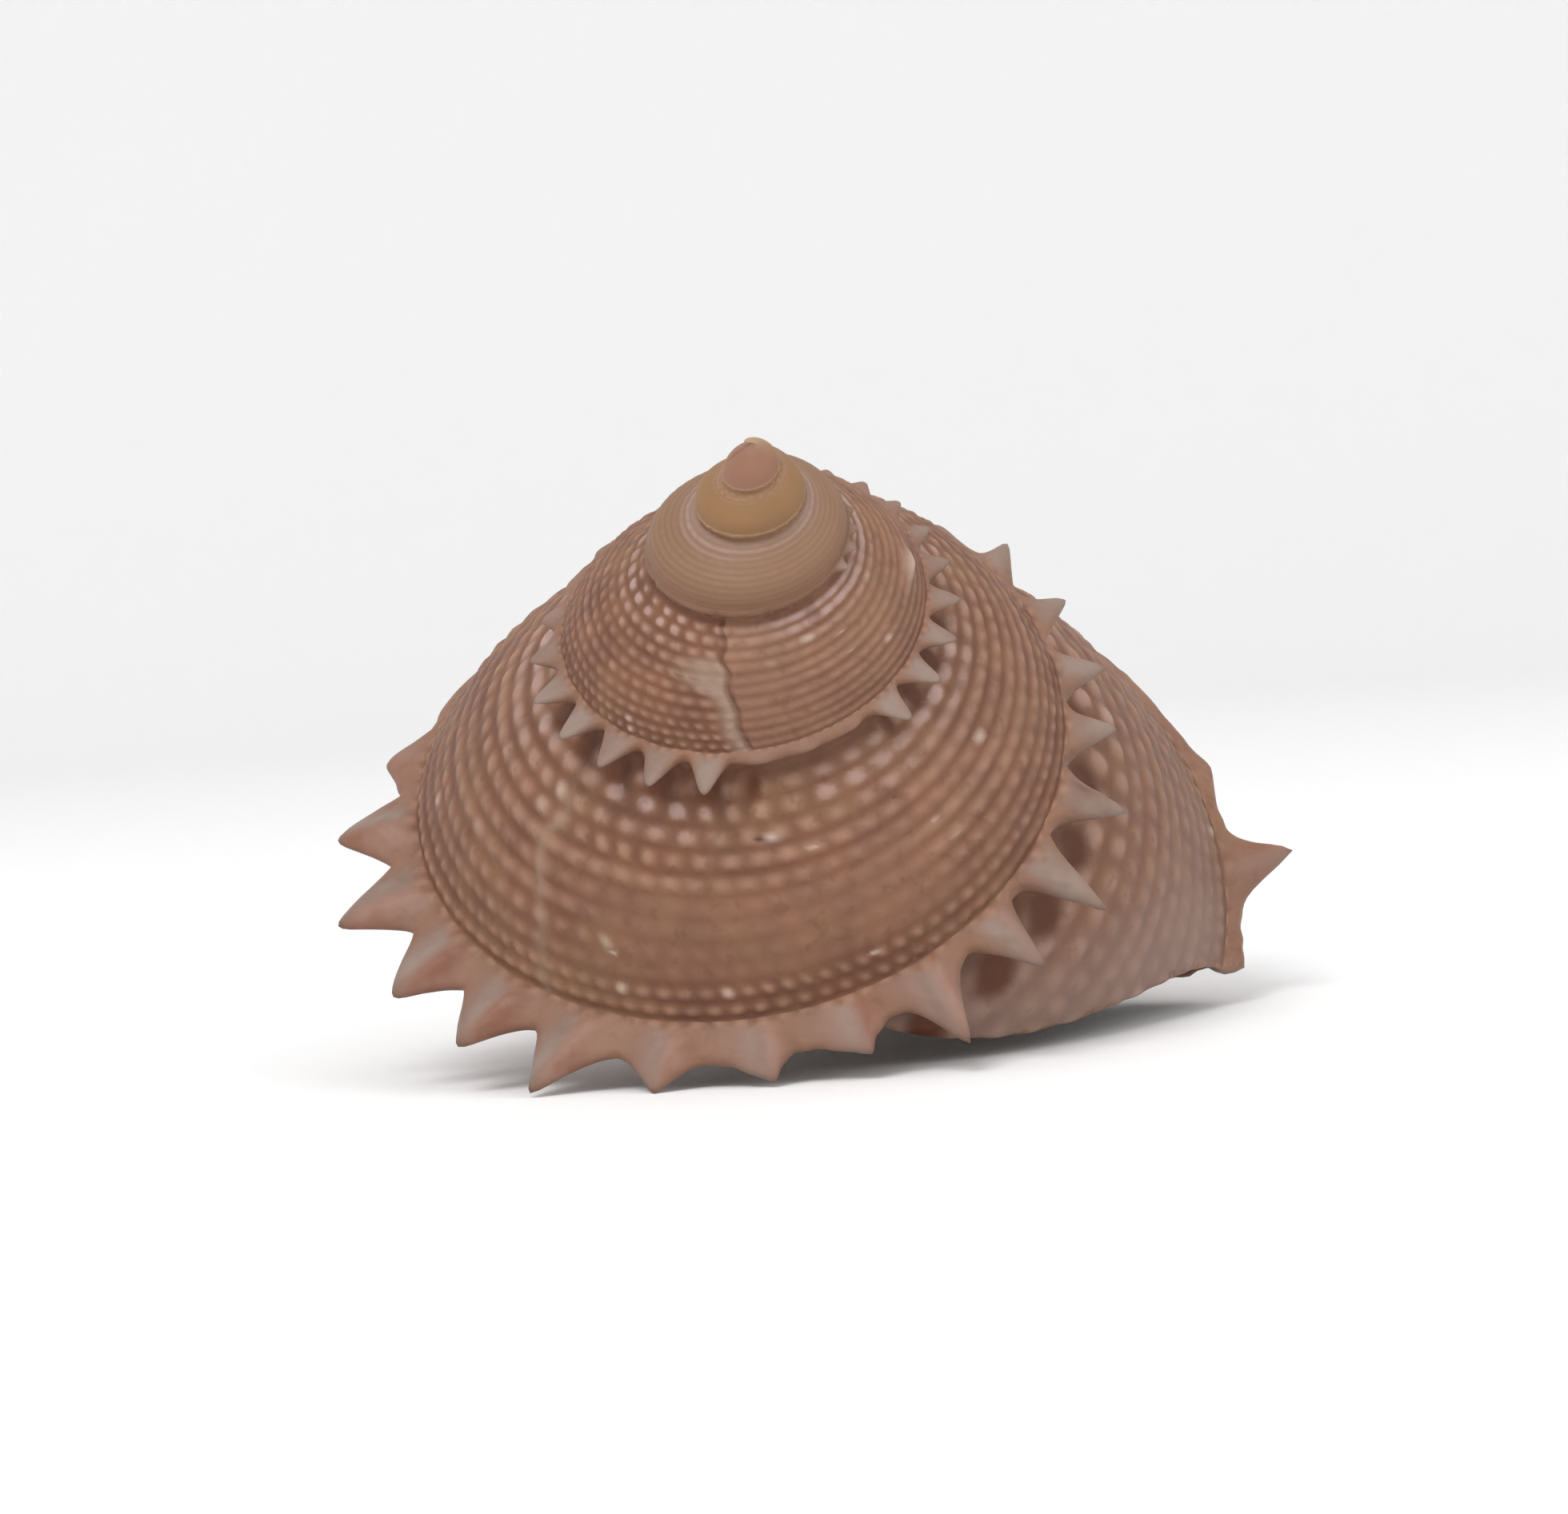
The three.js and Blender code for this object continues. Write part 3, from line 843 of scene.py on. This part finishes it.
# First whorls: pale tip, red-brown, ochre, tan; then the pink-brown of the beads.
later = rise(age, -2.42, -2.25)
tan = rise(age, -3.48, -3.3)
ochre = rise(age, -4.42, -4.3)
patchy = rise(mottle(520.0), 0.3, 0.7)
tip = layer(rise(age, -5.3, -4.95), tinted(190, 162, 134), tinted(160, 116, 96))
bead = layer(ochre, tip, tinted(160, 124, 86))
bead = layer(tan, bead, tinted(160, 128, 106))
bead = layer(later, bead, layer(patchy, tinted(170, 131, 112), tinted(180, 139, 116)))
groove = layer(ochre, tip, tinted(150, 110, 72))
groove = layer(tan, groove, tinted(136, 100, 74))
groove = layer(later, groove, layer(patchy, tinted(110, 66, 45), tinted(128, 82, 57)))
colour = layer(beaded, groove, bead)

# Paler and pinker under the suture, browner in the lower half and near the keel.
pinker = (1 - rise(across, 0.12, 0.36)) * rise(mottle(190.0), 0.25, 0.6)
pinker = pinker * (1 - 0.6 * rise(age, -0.32, -0.2)) * rise(beaded, 0.35, 0.9)
colour = layer(pinker * 0.8, colour, tinted(194, 166, 164))
tan_only = (1 - later) * tan
colour = layer((1 - rise(across, 0.05, 0.4)) * tan_only * 0.6, colour, tinted(164, 136, 124))
colour = layer(rise(across, 0.68, 1.0) * tan_only * 0.65, colour, tinted(134, 94, 72))
lower = rise(across, 0.72, 0.95) * (1 - rise(across, 1.0, 1.06)) * (1 - beaded)
colour = layer(lower * later * 0.5, colour, tinted(104, 64, 46))
colour = layer(rise(mottle(330.0), 0.45, 0.68) * 0.35, colour, tinted(146, 112, 80))
fleck = rise(mottle(1500.0, 2.0), 0.54, 0.72)
colour = layer(fleck * later * 0.35, colour, tinted(104, 66, 48))
greyer = rise(age, -0.1, 0.0) * (1 - rise(across, 0.9, 1.1))
colour = layer(greyer * 0.5, colour, tinted(162, 140, 134))
pale_edge = rise(across, 0.95, 1.1) * (1 - rise(across, 1.5, 2.0)) * (1 - tan)
colour = layer(pale_edge * 0.5, colour, tinted(178, 150, 128))
suture_line = (1 - rise(across, 0.0, 0.035)) * rise(age, -4.4, -4.2)
colour = layer(suture_line * 0.7, colour, tinted(104, 66, 46))

# Spines: grey on the leading face as painted light, grey as their own colour on the older spines,
# pink-brown along the fold, brown at the point.
smudge = rise(mottle(420.0), 0.35, 0.65)
fold_tint = layer(smudge, tinted(144, 98, 80), tinted(164, 128, 114))
grey_tint = layer(smudge, tinted(160, 144, 136), tinted(144, 121, 110))
older = 1 - rise(age, -0.93, -0.84)
# Painted light in grey on the leading faces, and the grey colour of the older spines.
lit_face_and_old_grey = 1 - (1 - mark("lead")) * (1 - older * 0.85)
colour = layer(mark("spine") * 0.9, colour, layer(lit_face_and_old_grey, fold_tint, grey_tint))
browned = rise(mark("point"), 0.7, 1.0) * (1 - older)
colour = layer(browned * 0.55, colour, tinted(128, 98, 80))

# Marks of its life: scars, folds with painted shade, pale patches, painted glints, and painted shade in the
# hollows and between the spines.
# Dark scar lines, and painted shade in the folds and between the spines.
colour = layer(mark("dark") * 0.75, colour, tinted(104, 66, 48))
colour = layer(mark("pale") * 0.8, colour, tinted(176, 154, 138))
# Painted glints, and the paler lime of the bore's rim and the knob.
colour = layer(mark("bright"), colour, tinted(204, 184, 172))
# Painted shade, orange-brown, in the pits and the bored pit, and the brown stain on one spine.
colour = layer(rise(mark("hole"), 0.15, 0.8) * 0.96, colour, tinted(96, 48, 14))

# Lip and lining: plain lime at the edge, then mother-of-pearl with a faint play of colour.
cream = rise(mottle(90.0, 2.0), 0.35, 0.65)
blush = rise(mottle(140.0, 2.0), 0.5, 0.7)
pearl = layer(cream, tinted(232, 220, 210), tinted(220, 216, 204))
pearl = layer(blush * 0.5, pearl, tinted(236, 208, 204))
layer(inside, colour, pearl).feed("Base Color")
(LIME_ROUGHNESS - (LIME_ROUGHNESS - PEARL_ROUGHNESS) * inside).feed("Roughness")
surface.inputs["Specular IOR Level"].default_value = 0.35
grain = {"Strength": 0.2, "Distance": 0.0001, "Height": mottle(2600.0, 4.0)}
Shade.node("ShaderNodeBump", {}, grain).feed("Normal")

shell.data.materials.clear()
shell.data.materials.append(lime)
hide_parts("shell")
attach(shell, "root")


# ---------------------------------------------------------------------------
# The studio: a round pale table that turns up into a wall, soft lights, and a
# camera just above the table, about level with the apex.
# ---------------------------------------------------------------------------
TABLE_RADIUS = 0.42
TABLE_BEND = 0.28              # radius of the bend from the table to the wall
WALL_TOP = 0.9
TABLE_SIDES = 64
PAPER_GREY = 0.9
DAYLIGHT = 0.9

floor_mesh = bpy.data.meshes.new("floor")
bend = [
    (TABLE_RADIUS + TABLE_BEND * math.sin(angle), TABLE_BEND - TABLE_BEND * math.cos(angle))
    for angle in np.linspace(0.1, math.pi / 2, 12)
]
table = bmesh.new()
profile = [(0.0, 0.0), (TABLE_RADIUS, 0.0), *bend, (TABLE_RADIUS + TABLE_BEND, WALL_TOP)]
corners = [table.verts.new((r, 0, z)) for r, z in profile]
for pair in zip(corners, corners[1:]):
    table.edges.new(pair)
bmesh.ops.spin(
    table, geom=table.verts[:] + table.edges[:], cent=(0, 0, 0), axis=(0, 0, 1),
    angle=2 * math.pi, steps=TABLE_SIDES, use_merge=True,
)
bmesh.ops.remove_doubles(table, verts=table.verts, dist=1e-5)
bmesh.ops.recalc_face_normals(table, faces=table.faces)
table.to_mesh(floor_mesh)
table.free()
floor_mesh.shade_smooth()
floor = bpy.data.objects.new("floor", floor_mesh)
bpy.context.scene.collection.objects.link(floor)
paper = bpy.data.materials.new("paper")
paper.use_nodes = True
paper_surface = paper.node_tree.nodes["Principled BSDF"]
paper_surface.inputs["Base Color"].default_value = (PAPER_GREY, PAPER_GREY, PAPER_GREY, 1)
paper_surface.inputs["Roughness"].default_value = 0.9
floor_mesh.materials.append(paper)

world = bpy.data.worlds.new("studio")
bpy.context.scene.world = world
world.use_nodes = True
world.node_tree.nodes["Background"].inputs["Color"].default_value = (1, 1, 1, 1)
world.node_tree.nodes["Background"].inputs["Strength"].default_value = DAYLIGHT


def softbox(name, place, size, power):
    lamp = bpy.data.lights.new(name, "AREA")
    lamp.shape = "DISK"
    lamp.size = size
    lamp.energy = power
    holder = bpy.data.objects.new(name, lamp)
    holder.location = place
    towards = Vector((0, 0, 0.01)) - Vector(place)
    holder.rotation_euler = towards.to_track_quat("-Z", "Y").to_euler()
    bpy.context.scene.collection.objects.link(holder)


softbox("key", (-0.18, -0.32, 0.42), 0.3, 1.6)
softbox("fill", (0.35, -0.25, 0.25), 0.35, 0.5)

# The camera's place is worked out on the upright shell, from its apex, and then leans with it.
TILT = math.radians(44.843)
ROLL = math.radians(5.595)
DISTANCE = 151.8
RIGHT_OF_APEX = 1.1
BELOW_APEX = 11.26
LENS = 91.8367

right, away, upright = Vector((1, 0, 0)), Vector((0, 1, 0)), Vector((0, 0, 1))
up = upright * math.cos(TILT) + away * math.sin(TILT)
into = away * math.cos(TILT) - upright * math.sin(TILT)
picture_right = right * math.cos(ROLL) - up * math.sin(ROLL)
picture_up = right * math.sin(ROLL) + up * math.cos(ROLL)
aim = (into * DISTANCE + picture_right * RIGHT_OF_APEX - picture_up * BELOW_APEX).normalized()
picture_up = (picture_up - aim * aim.dot(picture_up)).normalized()
picture_right = aim.cross(picture_up)
turned = Matrix((lean @ picture_right, lean @ picture_up, -(lean @ aim))).transposed().to_4x4()
turned.translation = (lean @ (-into * DISTANCE) + Vector(rest)) * MM
camera_data = bpy.data.cameras.new("camera")
camera_data.sensor_width = 36
camera_data.lens = LENS
camera_data.clip_start = 0.005
camera_data.clip_end = 10
camera = bpy.data.objects.new("camera", camera_data)
camera.matrix_world = turned
bpy.context.scene.collection.objects.link(camera)
bpy.context.scene.camera = camera
bpy.context.scene.view_settings.view_transform = "Standard"
